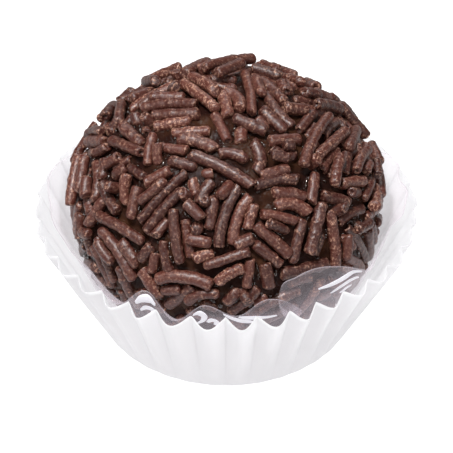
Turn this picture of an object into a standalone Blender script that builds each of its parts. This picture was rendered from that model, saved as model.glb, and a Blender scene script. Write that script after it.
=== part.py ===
"""A soft chocolate truffle ball rolled in chocolate sprinkles. It sits in a clear film liner inside
a fluted white paper case. Lengths are in metres, +Z is up, -Y is the front, and the origin is the
middle of the case's flat base.

Bearings are in degrees round the Z axis, from the front towards +X. Latitudes are in degrees above
the ball's widest level. A sprinkle's heading is in degrees from level, towards the top of the ball.
"""

import math
import random

import bmesh
import bpy
import numpy as np
from mathutils import Vector

# The ball: an oblate body of fudge that has settled on a small flat spot.
CORE_RADIUS = 0.0160
CORE_HALF_HEIGHT = 0.0134
SHOULDER_FALL = 0.03
CORE_CENTRE_Z = 0.0141
BALL_FLOOR_Z = 0.0009
CORE_SUBDIVISIONS = 3
FACET_SWELL = 1.006

# The sprinkles: short rods of chocolate pressed into the fudge.
SPRINKLE_DIAMETER = 0.00122
DIAMETER_SPREAD = 0.13
REST_HEIGHT = 0.00015
SPRING_BACK = 0.5
LONGEST = 0.0078
SHORTEST = 0.0017
SPRINKLE_COUNT = 640
SOLID_SPRINKLES = 220
SPRINKLE_SIDES = 5
STRAIGHT_LENGTH = 0.0050
BEND_SPREAD = 45.0
TOUCHING = 0.86
SEED = 7

# How a place is found for each one: spots looked at in turn, and lies compared at each.
SPOTS = 12
LIES_A_SPOT = 14
SPOTS_BEFORE_PILING = 8
BESIDE_SHARE = 0.4
LINE_POINTS = 13
PILE_ABOVE_Z = 0.0172
LOWEST_LATITUDE = -46.0
BARE_POINTS = 2400
BAREST_SHARE = 0.05
SPOT_SPREAD = 0.0004
GOLDEN_ANGLE = math.pi * (3.0 - math.sqrt(5.0))

# End rises tried in turn, for a sprinkle that has to lean or lie on others.
PILE_RISES = ((0.0, 0.0006), (0.0006, 0.0), (0.0, 0.0010), (0.0010, 0.0), (0.0007, 0.0007),
              (0.0010, 0.0010))
LOOSE_RISE = 0.0007
FUSED_RISE = 0.00015
# Points of the joined mesh this close are made one.
PINCH = 0.0000015

# The sprinkles that the eye meets in front: (bearing, latitude, heading, length, sideways bend per
# metre, height above the ones that lie flat).
LANDMARKS = (
    (-101, 80, 44, 0.0068, 0, 0.0007), (-6, 87, -76, 0.0039, 0, 0.0002),
    (92, 86, 22, 0.0034, 190, 0.0004), (120, 80, -25, 0.0078, 15, 0.0005),
    (-176, 76, -3, 0.0027, -45, 0.0003), (-73, 70, 58, 0.0053, 0, 0.0003),
    (-8, 75, -62, 0.0041, 0, 0.0003), (17, 71, 72, 0.0023, 0, 0.0001),
    (29, 73, -53, 0.0037, 0, 0.0008), (61, 70, 74, 0.0038, -10, 0.0004),
    (80, 71, 43, 0.0053, -75, 0.0003), (120, 70, 5, 0.0050, 25, 0.0004),
    (175, 75, 54, 0.0040, 0, 0.0017), (-94, 68, 75, 0.0065, -30, 0.0004),
    (-64, 67, 57, 0.0041, 0, 0.0002), (-40, 69, 34, 0.0041, 0, 0.0002),
    (-27, 66, 0, 0.0044, -95, 0.0004), (6, 62, -22, 0.0031, -175, 0.0003),
    (51, 61, -30, 0.0037, 0, 0.0003), (88, 64, -70, 0.0026, 0, 0.0006),
    (178, 61, 50, 0.0077, 0, 0.0013), (-109, 57, -43, 0.0030, -40, 0.0003),
    (-93, 50, -52, 0.0023, 0, 0.0002), (-57, 53, -48, 0.0037, 40, 0.0003),
    (-43, 59, 20, 0.0035, 0, 0.0002), (-30, 55, 6, 0.0033, 0, 0.0002),
    (-12, 53, 13, 0.0012, 0, 0.0003), (-3, 56, -27, 0.0073, -20, 0.0005),
    (25, 59, 74, 0.0036, 200, 0.0003), (29, 51, -3, 0.0030, 0, 0.0003),
    (42, 56, -43, 0.0028, 200, 0.0002), (69, 53, 2, 0.0088, -25, 0.0009),
    (82, 58, -17, 0.0042, 0, 0.0004), (110, 54, -79, 0.0045, 0, 0.0001),
    (-122, 44, -24, 0.0025, 0, 0.0005), (-104, 44, 17, 0.0049, 0, 0.0008),
    (-73, 46, 26, 0.0058, 0, 0.0005), (-53, 43, 4, 0.0027, 0, 0.0002),
    (-40, 46, 53, 0.0031, 0, 0.0003), (-33, 40, 66, 0.0068, -15, 0.0004),
    (-18, 47, -61, 0.0019, 0, 0.0000), (-12, 46, 69, 0.0025, -155, 0.0002),
    (29, 48, -11, 0.0049, -50, 0.0002), (33, 41, -26, 0.0038, -55, 0.0002),
    (77, 45, -18, 0.0071, -5, 0.0006), (-95, 31, 44, 0.0052, 0, 0.0006),
    (-84, 35, 64, 0.0021, 0, 0.0006), (-73, 33, -37, 0.0024, 0, 0.0003),
    (-62, 38, 64, 0.0019, 0, 0.0004), (-45, 33, -72, 0.0031, 0, 0.0003),
    (-30, 35, 66, 0.0055, -25, 0.0003), (-7, 38, 87, 0.0035, 0, 0.0002),
    (-1, 37, 72, 0.0061, -50, 0.0005), (5, 36, 66, 0.0051, -80, 0.0001),
    (11, 36, 66, 0.0025, 0, 0.0004), (24, 34, -25, 0.0039, -40, 0.0004),
    (32, 37, -29, 0.0036, -200, 0.0003), (46, 39, 43, 0.0033, 0, 0.0004),
    (54, 30, -42, 0.0036, 0, 0.0003), (73, 36, 11, 0.0028, 0, 0.0004),
    (92, 35, -19, 0.0055, 0, 0.0008), (-61, 20, 78, 0.0035, 0, 0.0005),
    (-58, 28, -14, 0.0041, 45, 0.0005), (-46, 22, 3, 0.0066, -20, 0.0005),
    (-21, 27, -69, 0.0052, 20, 0.0005), (-16, 27, -72, 0.0037, 0, 0.0000),
    (-11, 27, -2, 0.0026, 0, 0.0006), (0, 21, 18, 0.0048, -5, 0.0006),
    (7, 27, 18, 0.0021, 0, 0.0004), (16, 21, -46, 0.0035, 0, 0.0004),
    (19, 26, -50, 0.0046, 0, 0.0003), (29, 23, 59, 0.0045, -15, 0.0003),
    (38, 25, 50, 0.0052, -15, 0.0005), (69, 29, -31, 0.0044, 0, 0.0004),
    (76, 20, -2, 0.0036, 0, 0.0003), (-84, 18, -34, 0.0053, -25, 0.0011),
    (-44, 12, -28, 0.0062, -60, 0.0003), (-39, 14, -29, 0.0032, -15, 0.0003),
    (-32, 17, 62, 0.0023, 0, 0.0002), (-28, 14, 86, 0.0021, 0, 0.0002),
    (-24, 18, -67, 0.0032, 75, 0.0002), (-16, 12, 5, 0.0059, -90, 0.0004),
    (1, 15, 31, 0.0032, -115, 0.0005), (8, 14, 80, 0.0030, 0, 0.0003),
    (15, 12, -82, 0.0027, 0, 0.0002), (30, 11, -7, 0.0055, -10, 0.0003),
    (45, 17, 78, 0.0057, 10, 0.0004), (92, 11, 3, 0.0048, 0, 0.0006),
    (104, 15, 5, 0.0029, 0, 0.0011), (-68, 8, -71, 0.0025, -35, 0.0006),
    (-50, 4, -48, 0.0048, -45, 0.0002), (-28, 4, -47, 0.0035, -25, 0.0002),
    (-20, 4, 18, 0.0021, 0, 0.0002), (-17, 1, 50, 0.0042, 0, 0.0000),
    (-9, 5, 21, 0.0035, -200, 0.0004), (2, 4, 54, 0.0022, 0, 0.0002),
    (59, 5, -64, 0.0069, 0, 0.0000), (-52, -2, -50, 0.0050, -55, 0.0000),
)

# The paper case: round, with flutes that grow from nothing at the base to the rim.
BASE_RADIUS = 0.0138
RIDGE_RADIUS = 0.0202
SIDE_SPREAD = 0.0005
SIDE_EASE = 0.65
VALLEY_RADIUS = 0.01875
RIDGE_HEIGHT = 0.0136
VALLEY_HEIGHT = 0.0143
FLUTES = 36
TIP_BEARINGS = (-52.2, -41.4, -31.6, -22.3, -10.9, -0.4, 9.6, 19.9, 28.6, 38.5, 48.3)
RIM_RISE = 0.0004
RIM_RISE_AT = 37.0
RIM_RISE_WIDTH = 12.0
FLUTE_COLUMNS = 4
FLUTE_SHARPNESS = 0.75
PAPER_THICKNESS = 0.0002
CORNER_INSET = 0.0010
CORNER_RISE = 0.00025

# The film liner: a clear disc pressed into the case, whose edge stands up in waves.
FILM_THICKNESS = 0.00012
FILM_FLOOR_Z = 0.00045
FILM_FLOOR_RADIUS = 0.0110
FILM_CORNER = (0.0131, 0.0013)
FILM_WALL_TOP = (0.0177, 0.0134)
FILM_LEAST_LIP = 0.0009
FILM_COLUMNS = 72

# The film's edge at each crest and trough: (bearing, radius, height).
FILM_EDGE = (
    (-170, 0.0193, 0.0157), (-157, 0.0183, 0.0142), (-143, 0.0194, 0.0156), (-128, 0.0182, 0.0145),
    (-112, 0.0186, 0.0153), (-98, 0.0195, 0.0156), (-90, 0.0190, 0.0146), (-81, 0.0189, 0.0149),
    (-68, 0.0183, 0.0143), (-52, 0.0183, 0.0145), (-39, 0.0181, 0.0121), (-26, 0.0180, 0.0155),
    (-18.5, 0.0181, 0.0127), (-7.5, 0.0180, 0.0151), (4, 0.0181, 0.0140), (14, 0.0180, 0.0157),
    (21, 0.0181, 0.0172), (29, 0.0181, 0.0182), (38, 0.0180, 0.0173), (46, 0.0181, 0.0158),
    (56, 0.0183, 0.0136), (65, 0.0184, 0.0165), (75, 0.0188, 0.0158), (84, 0.0191, 0.0150),
    (93, 0.0195, 0.0151), (100, 0.0192, 0.0147), (109, 0.0197, 0.0152), (122, 0.0184, 0.0144),
    (138, 0.0194, 0.0158), (156, 0.0183, 0.0143), (173, 0.0195, 0.0157), (182, 0.0184, 0.0147),
)

COLOURS = {
    "chocolate": (0.10, 0.043, 0.034),
    "film": (0.80, 0.77, 0.82),
    "paper": (0.83, 0.83, 0.85),
}


def clear_scene():
    for thing in list(bpy.data.objects):
        bpy.data.objects.remove(thing, do_unlink=True)


def make_material(name, roughness, alpha=1.0):
    material = bpy.data.materials.new(name)
    material.use_nodes = True
    shader = material.node_tree.nodes["Principled BSDF"]
    shader.inputs["Base Color"].default_value = (*COLOURS[name], 1.0)
    shader.inputs["Roughness"].default_value = roughness
    shader.inputs["Alpha"].default_value = alpha
    return material


def add_object(name, bm, material=None):
    mesh = bpy.data.meshes.new(name)
    bm.to_mesh(mesh)
    bm.free()
    if material:
        mesh.materials.append(material)
    thing = bpy.data.objects.new(name, mesh)
    bpy.context.scene.collection.objects.link(thing)
    return thing


# ---------------------------------------------------------------- where the sprinkles lie

def core_axes():
    return np.array((CORE_RADIUS, CORE_RADIUS, CORE_HALF_HEIGHT))


def unit(vectors):
    return vectors / np.linalg.norm(vectors, axis=-1, keepdims=True)


def onto_core(points):
    """The core's surface points along the lines from its centre to these points, and their normals."""
    scaled = unit((points - (0.0, 0.0, CORE_CENTRE_Z)) / core_axes())
    up = np.maximum(scaled[..., 2:], 0.0)
    fall = 4.0 * SHOULDER_FALL * up**2 * (1.0 - up**2)
    surface = scaled * core_axes() * (1.0 - fall * (1.0, 1.0, 0.0))
    return surface + (0.0, 0.0, CORE_CENTRE_Z), unit(scaled / core_axes())


def lies_from_angles(bearing, latitude, heading):
    """Middles and directions of sprinkles lying on the core, from arrays of angles in degrees."""
    around, up, turn = (np.radians(np.asarray(angle, float)) for angle in (bearing, latitude, heading))
    level = np.cos(up)
    outward = np.stack((np.sin(around) * level, -np.cos(around) * level, np.sin(up)), axis=-1)
    middles, normals = onto_core(outward * core_axes() + (0.0, 0.0, CORE_CENTRE_Z))
    east = np.stack((np.cos(around), np.sin(around), np.zeros_like(around)), axis=-1)
    north = np.cross(normals, east)
    return middles, east * np.cos(turn)[:, None] + north * np.sin(turn)[:, None]


def lies_beside(draw, middle, direction, length):
    """Middles and directions of sprinkles that would lie beside this one and nearly in line with it."""
    across = np.cross(onto_core(middle[None])[1][0], direction)
    side = draw.choice((-1.0, 1.0), LIES_A_SPOT) * draw.uniform(1.0, 1.3, LIES_A_SPOT)
    slide = draw.uniform(-0.7, 0.7, LIES_A_SPOT) * length
    turn = np.radians(draw.normal(0.0, 14.0, LIES_A_SPOT))[:, None]
    points = middle + direction * slide[:, None] + across * side[:, None] * SPRINKLE_DIAMETER
    middles, normals = onto_core(points)
    turned = direction * np.cos(turn) + across * np.sin(turn)
    return middles, unit(turned - normals * np.sum(turned * normals, axis=-1, keepdims=True))


def lies_around(draw, spot):
    """Middles and directions of sprinkles that would lie near this spot, turned any way."""
    middles = onto_core(spot + draw.normal(0.0, SPOT_SPREAD, (LIES_A_SPOT, 3)))
    aims = draw.normal(0.0, 1.0, (LIES_A_SPOT, 3))
    return middles[0], unit(np.cross(middles[1], aims))


def centrelines(middles, directions, length, bends, rises=(0.0, 0.0)):
    """Points down the middle of each sprinkle laid on the core, its ends raised by these rises."""
    across = np.cross(onto_core(middles)[1], directions)
    run = (np.linspace(-0.5, 0.5, LINE_POINTS) * length)[None, :, None]
    curve = np.asarray(bends, float)[:, None, None] * run**2
    feet = middles[:, None] + directions[:, None] * run + across[:, None] * curve
    feet, normals = onto_core(feet)
    share = run / length + 0.5
    lift = rises[0] * (1.0 - share) + rises[1] * share
    return feet + normals * (REST_HEIGHT + lift + SPRING_BACK * run**2 / (2.0 * CORE_RADIUS))


def spread_points():
    """Points spread evenly over the part of the core that the sprinkles cover."""
    index = np.arange(BARE_POINTS) + 0.5
    lowest = math.sin(math.radians(LOWEST_LATITUDE))
    up = np.degrees(np.arcsin(lowest + (1.0 - lowest) * index / BARE_POINTS))
    around = np.degrees(index * GOLDEN_ANGLE)
    return lies_from_angles(around, up, np.zeros(BARE_POINTS))[0]


class Coating:
    """The sprinkles placed so far: centrelines, radii, lengths, directions and end rises."""

    def __init__(self):
        self.points = spread_points()
        self.gaps = np.full(BARE_POINTS, np.inf)
        self.lines = np.zeros((0, LINE_POINTS, 3))
        self.radii = np.zeros(0)
        self.lengths = []
        self.directions = []
        self.rises = []

    def clearances(self, lines, radius):
        """How far each of these lines keeps from its nearest sprinkle, as a share of touching."""
        spot = lines.mean(axis=(0, 1))
        reach = LONGEST + np.linalg.norm(lines.mean(axis=1) - spot, axis=-1).max()
        near = np.linalg.norm(self.lines[:, LINE_POINTS // 2] - spot, axis=-1) < reach
        if not near.any():
            return np.full(len(lines), 9.0)
        ours = lines.reshape(-1, 3) - spot
        theirs = self.lines[near].reshape(-1, 3) - spot
        squares = (ours**2).sum(axis=1)[:, None] + (theirs**2).sum(axis=1) - 2.0 * ours @ theirs.T
        squares = squares.reshape(len(lines), LINE_POINTS, -1, LINE_POINTS).min(axis=(1, 3))
        return (np.sqrt(np.maximum(squares, 0.0)) / (radius + self.radii[near])).min(axis=1)

    def bare_spot(self, draw):
        """A point that is far from every sprinkle, picked from the barest."""
        bare = np.flatnonzero(self.gaps >= np.quantile(self.gaps, 1.0 - BAREST_SHARE))
        return self.points[draw.choice(bare)]

    def add(self, line, radius, length, direction, rises):
        apart = np.linalg.norm(self.points[:, None] - line[None], axis=2).min(axis=1)
        self.gaps = np.minimum(self.gaps, apart)
        self.lines = np.concatenate((self.lines, line[None]))
        self.radii = np.append(self.radii, radius)
        self.lengths.append(length)
        self.directions.append(direction)
        self.rises.append(rises)

    def place(self, middles, directions, length, bends, radius, pile):
        """Adds the tightest of these lies that fits, flat on the core or, if pile is set, leaning."""
        for rises in ((0.0, 0.0), *(PILE_RISES if pile else ())):
            lines = centrelines(middles, directions, length, bends, rises)
            lowest = lines[:, :, 2].min(axis=1)
            clear = self.clearances(lines, radius)
            fits = (clear >= TOUCHING) & (lowest - radius > BALL_FLOOR_Z)
            if max(rises) > 0.0:
                fits &= lowest > PILE_ABOVE_Z
            if fits.any():
                best = np.where(fits, clear, np.inf).argmin()
                self.add(lines[best], radius, length, directions[best], rises)
                return True
        return False


def some_radius(draw):
    return 0.5 * SPRINKLE_DIAMETER * (1.0 + draw.uniform(-DIAMETER_SPREAD, DIAMETER_SPREAD))


def coat_of_sprinkles():
    """Lays the sprinkles, the marked ones first and then the longest first."""
    draw = np.random.default_rng(SEED)
    coating = Coating()
    for bearing, latitude, heading, length, bend, rise in LANDMARKS:
        middles, directions = lies_from_angles([bearing], [latitude], [heading])
        line = centrelines(middles, directions, length, [bend], (rise, rise))[0]
        coating.add(line, some_radius(draw), length, directions[0], (rise, rise))
    lengths = SHORTEST + (LONGEST - SHORTEST) * draw.beta(1.5, 2.6, SPRINKLE_COUNT)
    for length in sorted(lengths, reverse=True):
        radius = some_radius(draw)
        for spot in range(SPOTS):
            bends = draw.normal(0.0, BEND_SPREAD, LIES_A_SPOT)
            if draw.random() < BESIDE_SHARE:
                other = draw.integers(len(coating.lengths))
                middle = coating.lines[other, LINE_POINTS // 2]
                lies = lies_beside(draw, middle, coating.directions[other], coating.lengths[other])
            else:
                lies = lies_around(draw, coating.bare_spot(draw))
            if coating.place(*lies, length, bends, radius, pile=spot >= SPOTS_BEFORE_PILING):
                break
    return coating


# ---------------------------------------------------------------- the ball

def sprinkle_mesh(line, length, radius):
    """A rod of flat sides along the centreline. The longer ones have two lengths, so they can bend."""
    bm = bmesh.new()
    stations = [line[0], line[-1]]
    if length > STRAIGHT_LENGTH:
        stations.insert(1, line[LINE_POINTS // 2])
    along = Vector(line[-1] - line[0]).normalized()
    outward = Vector(line[LINE_POINTS // 2]) - Vector((0.0, 0.0, CORE_CENTRE_Z))
    across = along.cross(outward).normalized()
    upward = across.cross(along)
    rings = []
    for station in stations:
        ring = []
        for side in range(SPRINKLE_SIDES):
            turn = 2.0 * math.pi * (side + 0.5) / SPRINKLE_SIDES
            offset = (across * math.sin(turn) - upward * math.cos(turn)) * radius
            ring.append(bm.verts.new(Vector(station) + offset))
        rings.append(ring)
    for near, far in zip(rings, rings[1:]):
        for side in range(SPRINKLE_SIDES):
            after = (side + 1) % SPRINKLE_SIDES
            bm.faces.new((near[side], near[after], far[after], far[side]))
    bm.faces.new(reversed(rings[0]))
    bm.faces.new(rings[-1])
    bmesh.ops.recalc_face_normals(bm, faces=bm.faces)
    return bm


def core_mesh():
    """The core as flat faces, swelled a little so that their middles aren't far inside its surface."""
    bm = bmesh.new()
    bmesh.ops.create_icosphere(bm, subdivisions=CORE_SUBDIVISIONS, radius=1.0)
    centre = Vector((0.0, 0.0, CORE_CENTRE_Z))
    for vert in bm.verts:
        point = np.array(vert.co) * core_axes() + centre
        vert.co = centre + (Vector(onto_core(point)[0]) - centre) * FACET_SWELL
        vert.co.z = max(vert.co.z, BALL_FLOOR_Z)
    return bm


def keep_outer_skin(mesh):
    """Drops the skins of pockets sealed between sprinkles, so that the mesh is one solid."""
    bm = bmesh.new()
    bm.from_mesh(mesh)
    bmesh.ops.remove_doubles(bm, verts=bm.verts, dist=PINCH)
    skins = []
    left = set(bm.faces)
    while left:
        skin, edge = set(), {left.pop()}
        while edge:
            skin |= edge
            sides = {side for face in edge for side in face.edges if len(side.link_faces) == 2}
            edge = {face for side in sides for face in side.link_faces} - skin
        skins.append(skin)
        left -= skin
    skins.sort(key=len)
    bmesh.ops.delete(bm, geom=[face for skin in skins[:-1] for face in skin], context="FACES")
    bm.to_mesh(mesh)
    bm.free()


def make_bonbon(coating):
    """The core with its longer sprinkles fused on by one union."""
    core = add_object("bonbon", core_mesh(), make_material("chocolate", 0.45))
    coat = bpy.data.collections.new("sprinkles")
    made = 0
    for line, length, radius, rises in zip(
        coating.lines, coating.lengths, coating.radii, coating.rises
    ):
        if made == SOLID_SPRINKLES:
            break
        if abs(rises[1] - rises[0]) > LOOSE_RISE:
            continue
        # One that lies on others is sunk towards the core, so that it fuses with it.
        line = line - onto_core(line)[1] * max(0.0, min(rises) - FUSED_RISE)
        rod = add_object(f"sprinkle_{made:03d}", sprinkle_mesh(line, length, radius))
        bpy.context.scene.collection.objects.unlink(rod)
        coat.objects.link(rod)
        made += 1
    union = core.modifiers.new("fuse", "BOOLEAN")
    union.operation = "UNION"
    union.solver = "MANIFOLD"
    union.operand_type = "COLLECTION"
    union.collection = coat
    graph = bpy.context.evaluated_depsgraph_get()
    fused = bpy.data.meshes.new_from_object(core.evaluated_get(graph))
    keep_outer_skin(fused)
    core.modifiers.clear()
    core.data = fused
    for rod in list(coat.objects):
        bpy.data.objects.remove(rod, do_unlink=True)
    bpy.data.collections.remove(coat)
    return core


# ---------------------------------------------------------------- the paper case and the film liner

def dish_surface(rings):
    """A sheet dished through these rings of points, with a flat floor inside the first one."""
    bm = bmesh.new()
    rows = [[bm.verts.new(point) for point in ring] for ring in rings]
    count = len(rows[0])
    bm.faces.new(rows[0])
    for low, high in zip(rows, rows[1:]):
        for here in range(count):
            after = (here + 1) % count
            bm.faces.new((low[here], low[after], high[after], high[here]))
    bmesh.ops.recalc_face_normals(bm, faces=bm.faces)
    if bm.faces[:][0].normal.z > 0.0:
        bmesh.ops.reverse_faces(bm, faces=bm.faces[:])
    return bm


def thicken(thing, thickness):
    """Gives the sheet its thickness on the inner side, so that its outer side stays where it is."""
    solid = thing.modifiers.new("thickness", "SOLIDIFY")
    solid.thickness = thickness
    solid.offset = -1.0


def round_point(bearing, radius, height):
    return Vector((radius * math.sin(bearing), -radius * math.cos(bearing), height))


def flute_columns():
    """(bearing, rim radius, rim height) of each column of the fluted wall, valley first."""
    draw = random.Random(SEED)
    starts = list(TIP_BEARINGS)
    pitch = (starts[0] + 360.0 - starts[-1]) / (FLUTES - len(starts) + 1)
    for flute in range(1, FLUTES - len(starts) + 1):
        starts.append(TIP_BEARINGS[-1] + pitch * (flute + draw.uniform(-0.12, 0.12)))
    starts.append(starts[0] + 360.0)
    columns = []
    for start, end in zip(starts, starts[1:]):
        depth = (RIDGE_RADIUS - VALLEY_RADIUS) * draw.uniform(0.82, 1.0)
        lift = draw.uniform(-0.00012, 0.00012)
        for column in range(FLUTE_COLUMNS):
            across = column / FLUTE_COLUMNS
            bearing = start + (end - start) * across
            side = math.sin(math.radians(bearing)) ** 2
            lobe = math.sin(math.pi * across) ** FLUTE_SHARPNESS
            eased = depth * (1.0 - SIDE_EASE * side)
            radius = VALLEY_RADIUS + SIDE_SPREAD * side + depth - eased + eased * lobe
            height = VALLEY_HEIGHT + (RIDGE_HEIGHT - VALLEY_HEIGHT) * lobe + lift * (1.0 - lobe)
            height += RIM_RISE * math.exp(-((bearing - RIM_RISE_AT) / RIM_RISE_WIDTH) ** 2)
            columns.append((math.radians(bearing), radius, height))
    return columns


def make_paper_case():
    columns = flute_columns()
    rings = [
        [round_point(bearing, BASE_RADIUS - CORNER_INSET, 0.0) for bearing, _, _ in columns],
        [round_point(bearing, BASE_RADIUS - 0.2 * CORNER_INSET, CORNER_RISE)
         for bearing, _, _ in columns],
    ]
    for share in (0.1, 1.0):
        rings.append([
            round_point(bearing, BASE_RADIUS + (radius - BASE_RADIUS) * share, height * share)
            for bearing, radius, height in columns
        ])
    case = add_object("paper_case", dish_surface(rings), make_material("paper", 0.85))
    thicken(case, PAPER_THICKNESS)
    return case


def film_edge(bearing):
    """(radius, height) of the film's edge at a bearing in degrees, eased from crest to trough."""
    (first, *_), (last, *_) = FILM_EDGE[0], FILM_EDGE[-1]
    stops = [(last - 360.0, *FILM_EDGE[-1][1:]), *FILM_EDGE, (first + 360.0, *FILM_EDGE[0][1:])]
    for (left, *start), (right, *end) in zip(stops, stops[1:]):
        if left <= bearing <= right:
            share = 0.5 - 0.5 * math.cos(math.pi * (bearing - left) / (right - left))
            return [a + (b - a) * share for a, b in zip(start, end)]
    raise ValueError(bearing)


def make_film_liner():
    corner_radius, corner_z = FILM_CORNER
    top_radius, top_z = FILM_WALL_TOP
    slope = (top_radius - corner_radius) / (top_z - corner_z)
    rings = [[], [], [], [], []]
    for column in range(FILM_COLUMNS):
        degrees = -178.0 + 360.0 * column / FILM_COLUMNS
        bearing = math.radians(degrees)
        edge_radius, edge_z = film_edge(degrees)
        wall_z = min(top_z, edge_z - FILM_LEAST_LIP)
        wall_radius = corner_radius + slope * (wall_z - corner_z)
        flare_radius = wall_radius + (edge_radius - wall_radius) * 0.36
        flare_z = wall_z + (edge_z - wall_z) * 0.66
        profile = (
            (FILM_FLOOR_RADIUS, FILM_FLOOR_Z), FILM_CORNER, (wall_radius, wall_z),
            (flare_radius, flare_z), (edge_radius, edge_z),
        )
        for ring, (radius, height) in zip(rings, profile):
            ring.append(round_point(bearing, radius, height))
    film = add_object("film_liner", dish_surface(rings), make_material("film", 0.25, alpha=0.4))
    thicken(film, FILM_THICKNESS)
    return film


def main():
    clear_scene()
    make_bonbon(coat_of_sprinkles())
    make_film_liner()
    make_paper_case()


main()
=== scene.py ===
import math
import random

import bmesh
import bpy
import numpy as np
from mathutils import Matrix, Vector, bvhtree, kdtree


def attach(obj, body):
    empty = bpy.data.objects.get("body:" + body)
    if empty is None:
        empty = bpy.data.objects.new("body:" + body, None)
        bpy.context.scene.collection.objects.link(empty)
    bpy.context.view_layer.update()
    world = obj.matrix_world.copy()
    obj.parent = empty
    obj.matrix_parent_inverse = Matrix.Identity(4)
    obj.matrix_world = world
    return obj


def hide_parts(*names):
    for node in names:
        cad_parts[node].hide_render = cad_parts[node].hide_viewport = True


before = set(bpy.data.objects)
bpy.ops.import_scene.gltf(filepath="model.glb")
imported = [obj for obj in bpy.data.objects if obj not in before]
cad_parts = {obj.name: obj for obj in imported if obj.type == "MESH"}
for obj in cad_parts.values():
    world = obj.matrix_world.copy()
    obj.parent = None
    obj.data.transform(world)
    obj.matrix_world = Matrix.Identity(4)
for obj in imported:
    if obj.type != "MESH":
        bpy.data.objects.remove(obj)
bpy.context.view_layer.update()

# A soft chocolate truffle ball rolled in chocolate sprinkles, in a clear film liner inside a
# fluted white paper case. Lengths are in metres, +Z is up, -Y is the front, and the origin is the
# middle of the case's flat base. Bearings are in degrees round Z, from the front towards +X.
# Latitudes are in degrees above the ball's widest level. Headings are in degrees from level,
# towards the ball's top.

# -------------------------------- shared with the solid part

CORE_RADIUS = 0.0160
CORE_HALF_HEIGHT = 0.0134
SHOULDER_FALL = 0.03
CORE_CENTRE_Z = 0.0141
BALL_FLOOR_Z = 0.0009

SPRINKLE_DIAMETER = 0.00122
DIAMETER_SPREAD = 0.13
REST_HEIGHT = 0.00015
SPRING_BACK = 0.5
LONGEST = 0.0078
SHORTEST = 0.0017
SPRINKLE_COUNT = 640
BEND_SPREAD = 45.0
TOUCHING = 0.86
SEED = 7

SPOTS = 12
LIES_A_SPOT = 14
SPOTS_BEFORE_PILING = 8
BESIDE_SHARE = 0.4
LINE_POINTS = 13
PILE_ABOVE_Z = 0.0172
LOWEST_LATITUDE = -46.0
BARE_POINTS = 2400
BAREST_SHARE = 0.05
SPOT_SPREAD = 0.0004
GOLDEN_ANGLE = math.pi * (3.0 - math.sqrt(5.0))
PILE_RISES = ((0.0, 0.0006), (0.0006, 0.0), (0.0, 0.0010), (0.0010, 0.0), (0.0007, 0.0007),
              (0.0010, 0.0010))

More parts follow.
